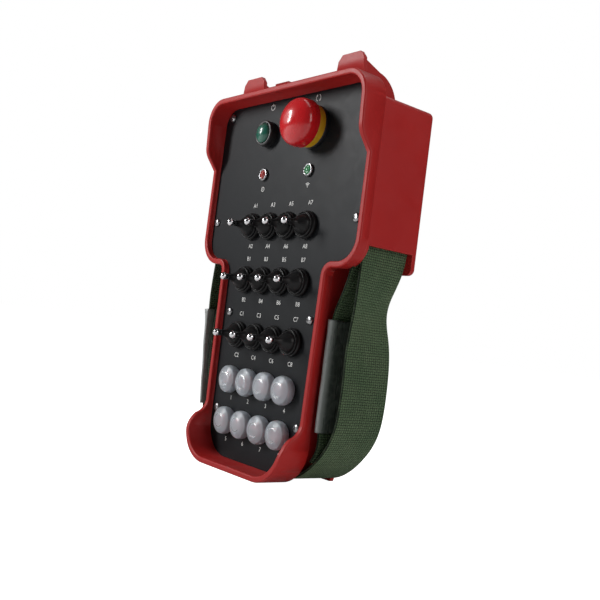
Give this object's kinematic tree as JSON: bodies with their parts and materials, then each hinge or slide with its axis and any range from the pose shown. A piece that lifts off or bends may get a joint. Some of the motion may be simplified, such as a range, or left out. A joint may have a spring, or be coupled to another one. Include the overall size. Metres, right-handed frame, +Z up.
{
  "type": "pendant control station",
  "caption": "Hand-held control station: T-shaped red case, black face plate with sprung toggles, covered push buttons, mushroom stop, lamps and two webbing hand loops.",
  "frame": {"origin": "centre of the box round the whole station, on the plane that its base stands on", "axes": "+Z up along the case towards the stop button, the controls face -Y, +X to the right as the operator sees the face plate"},
  "size_m": [0.17, 0.072, 0.2745],
  "materials": {
    "red_housing": "satin moulded plastic",
    "black_plate": "black anodised sheet",
    "black_rubber": "matt",
    "screw_steel": "plated",
    "clamp_steel": "plated",
    "chrome": "polished",
    "switch_plastic": "satin",
    "plunger_red": "gloss",
    "clear_silicone": "frosted",
    "stop_red": "gloss",
    "stop_yellow": "satin",
    "power_green": "gloss",
    "lamp_red": "gloss",
    "lamp_green": "gloss",
    "webbing": "woven",
    "sleeve_vinyl": "satin vinyl",
    "circuit_board": "solder mask",
    "radio_shield": "tinned",
    "battery_wrap": "shrink sleeve",
    "brass": "plain"
  },
  "bodies": {
    "case": {"antenna": "brass", "battery_cover": "red_housing", "battery_cover_screws": "screw_steel", "battery_pack": "battery_wrap", "board_screws": "screw_steel", "board_standoffs": "brass", "button_bodies": "switch_plastic", "button_covers_lower": "clear_silicone", "button_covers_upper": "clear_silicone", "control_board": "circuit_board", "estop_bezel": "switch_plastic", "estop_contact_block": "switch_plastic", "estop_yellow_ring": "stop_yellow", "faceplate": "black_plate", "faceplate_screws": "screw_steel", "front_housing": "red_housing", "housing_gasket": "black_rubber", "housing_screws": "screw_steel", "lamp_bezels": "chrome", "lamp_lens_green": "lamp_green", "lamp_lens_red": "lamp_red", "left_strap": "webbing", "left_strap_sleeve": "sleeve_vinyl", "power_button_bezel": "switch_plastic", "power_switch_body": "switch_plastic", "radio_module": "radio_shield", "rear_housing": "red_housing", "right_strap": "webbing", "right_strap_sleeve": "sleeve_vinyl", "strap_bars": "screw_steel", "strap_clamp": "clamp_steel", "strap_clamp_screws": "screw_steel", "toggle_bodies": "switch_plastic", "toggle_boots_a": "black_rubber", "toggle_boots_b": "black_rubber", "toggle_boots_c": "black_rubber"},
    "lever_a1": {"toggle_lever_a1": "chrome"},
    "lever_a3": {"toggle_lever_a3": "chrome"},
    "lever_a5": {"toggle_lever_a5": "chrome"},
    "lever_a7": {"toggle_lever_a7": "chrome"},
    "lever_b1": {"toggle_lever_b1": "chrome"},
    "lever_b3": {"toggle_lever_b3": "chrome"},
    "lever_b5": {"toggle_lever_b5": "chrome"},
    "lever_b7": {"toggle_lever_b7": "chrome"},
    "lever_c1": {"toggle_lever_c1": "chrome"},
    "lever_c3": {"toggle_lever_c3": "chrome"},
    "lever_c5": {"toggle_lever_c5": "chrome"},
    "lever_c7": {"toggle_lever_c7": "chrome"},
    "plunger_1": {"button_plunger_1": "plunger_red"},
    "plunger_2": {"button_plunger_2": "plunger_red"},
    "plunger_3": {"button_plunger_3": "plunger_red"},
    "plunger_4": {"button_plunger_4": "plunger_red"},
    "plunger_5": {"button_plunger_5": "plunger_red"},
    "plunger_6": {"button_plunger_6": "plunger_red"},
    "plunger_7": {"button_plunger_7": "plunger_red"},
    "plunger_8": {"button_plunger_8": "plunger_red"},
    "power_cap": {"power_button_cap": "power_green"},
    "estop_stem": {"estop_stem": "switch_plastic"},
    "estop_head": {"estop_mushroom": "stop_red"}
  },
  "joints": [
    {"name": "toggle_a1", "type": "hinge", "parent": "case", "child": "lever_a1", "pos_m": [-0.03, -0.015, 0.1652], "axis": [1, 0, 0], "range_deg": [-13, 13], "stiffness_Nm_per_rad": 0.05, "deforming": ["toggle_boots_a"]},
    {"name": "toggle_a3", "type": "hinge", "parent": "case", "child": "lever_a3", "pos_m": [-0.01, -0.015, 0.1652], "axis": [1, 0, 0], "range_deg": [-13, 13], "stiffness_Nm_per_rad": 0.05, "deforming": ["toggle_boots_a"]},
    {"name": "toggle_a5", "type": "hinge", "parent": "case", "child": "lever_a5", "pos_m": [0.01, -0.015, 0.1652], "axis": [1, 0, 0], "range_deg": [-13, 13], "stiffness_Nm_per_rad": 0.05, "deforming": ["toggle_boots_a"]},
    {"name": "toggle_a7", "type": "hinge", "parent": "case", "child": "lever_a7", "pos_m": [0.03, -0.015, 0.1652], "axis": [1, 0, 0], "range_deg": [-13, 13], "stiffness_Nm_per_rad": 0.05, "deforming": ["toggle_boots_a"]},
    {"name": "toggle_b1", "type": "hinge", "parent": "case", "child": "lever_b1", "pos_m": [-0.03, -0.015, 0.1279], "axis": [1, 0, 0], "range_deg": [-13, 13], "stiffness_Nm_per_rad": 0.05, "deforming": ["toggle_boots_b"]},
    {"name": "toggle_b3", "type": "hinge", "parent": "case", "child": "lever_b3", "pos_m": [-0.01, -0.015, 0.1279], "axis": [1, 0, 0], "range_deg": [-13, 13], "stiffness_Nm_per_rad": 0.05, "deforming": ["toggle_boots_b"]},
    {"name": "toggle_b5", "type": "hinge", "parent": "case", "child": "lever_b5", "pos_m": [0.01, -0.015, 0.1279], "axis": [1, 0, 0], "range_deg": [-13, 13], "stiffness_Nm_per_rad": 0.05, "deforming": ["toggle_boots_b"]},
    {"name": "toggle_b7", "type": "hinge", "parent": "case", "child": "lever_b7", "pos_m": [0.03, -0.015, 0.1279], "axis": [1, 0, 0], "range_deg": [-13, 13], "stiffness_Nm_per_rad": 0.05, "deforming": ["toggle_boots_b"]},
    {"name": "toggle_c1", "type": "hinge", "parent": "case", "child": "lever_c1", "pos_m": [-0.03, -0.015, 0.0892], "axis": [1, 0, 0], "range_deg": [-13, 13], "stiffness_Nm_per_rad": 0.05, "deforming": ["toggle_boots_c"]},
    {"name": "toggle_c3", "type": "hinge", "parent": "case", "child": "lever_c3", "pos_m": [-0.01, -0.015, 0.0892], "axis": [1, 0, 0], "range_deg": [-13, 13], "stiffness_Nm_per_rad": 0.05, "deforming": ["toggle_boots_c"]},
    {"name": "toggle_c5", "type": "hinge", "parent": "case", "child": "lever_c5", "pos_m": [0.01, -0.015, 0.0892], "axis": [1, 0, 0], "range_deg": [-13, 13], "stiffness_Nm_per_rad": 0.05, "deforming": ["toggle_boots_c"]},
    {"name": "toggle_c7", "type": "hinge", "parent": "case", "child": "lever_c7", "pos_m": [0.03, -0.015, 0.0892], "axis": [1, 0, 0], "range_deg": [-13, 13], "stiffness_Nm_per_rad": 0.05, "deforming": ["toggle_boots_c"]},
    {"name": "button_1", "type": "slide", "parent": "case", "child": "plunger_1", "axis": [0, 1, 0], "range_m": [0, 0.002], "stiffness_N_per_m": 700, "springref_m": -0.001, "deforming": ["button_covers_upper"]},
    {"name": "button_2", "type": "slide", "parent": "case", "child": "plunger_2", "axis": [0, 1, 0], "range_m": [0, 0.002], "stiffness_N_per_m": 700, "springref_m": -0.001, "deforming": ["button_covers_upper"]},
    {"name": "button_3", "type": "slide", "parent": "case", "child": "plunger_3", "axis": [0, 1, 0], "range_m": [0, 0.002], "stiffness_N_per_m": 700, "springref_m": -0.001, "deforming": ["button_covers_upper"]},
    {"name": "button_4", "type": "slide", "parent": "case", "child": "plunger_4", "axis": [0, 1, 0], "range_m": [0, 0.002], "stiffness_N_per_m": 700, "springref_m": -0.001, "deforming": ["button_covers_upper"]},
    {"name": "button_5", "type": "slide", "parent": "case", "child": "plunger_5", "axis": [0, 1, 0], "range_m": [0, 0.002], "stiffness_N_per_m": 700, "springref_m": -0.001, "deforming": ["button_covers_lower"]},
    {"name": "button_6", "type": "slide", "parent": "case", "child": "plunger_6", "axis": [0, 1, 0], "range_m": [0, 0.002], "stiffness_N_per_m": 700, "springref_m": -0.001, "deforming": ["button_covers_lower"]},
    {"name": "button_7", "type": "slide", "parent": "case", "child": "plunger_7", "axis": [0, 1, 0], "range_m": [0, 0.002], "stiffness_N_per_m": 700, "springref_m": -0.001, "deforming": ["button_covers_lower"]},
    {"name": "button_8", "type": "slide", "parent": "case", "child": "plunger_8", "axis": [0, 1, 0], "range_m": [0, 0.002], "stiffness_N_per_m": 700, "springref_m": -0.001, "deforming": ["button_covers_lower"]},
    {"name": "power_press", "type": "slide", "parent": "case", "child": "power_cap", "axis": [0, 1, 0], "range_m": [0, 0.0025], "stiffness_N_per_m": 600, "springref_m": -0.001},
    {"name": "estop_press", "type": "slide", "parent": "case", "child": "estop_stem", "axis": [0, 1, 0], "range_m": [0, 0.004]},
    {"name": "estop_twist", "type": "hinge", "parent": "estop_stem", "child": "estop_head", "pos_m": [0.0245, -0.03, 0.23], "axis": [0, 1, 0], "range_deg": [0, 45], "stiffness_Nm_per_rad": 0.05}
  ]
}
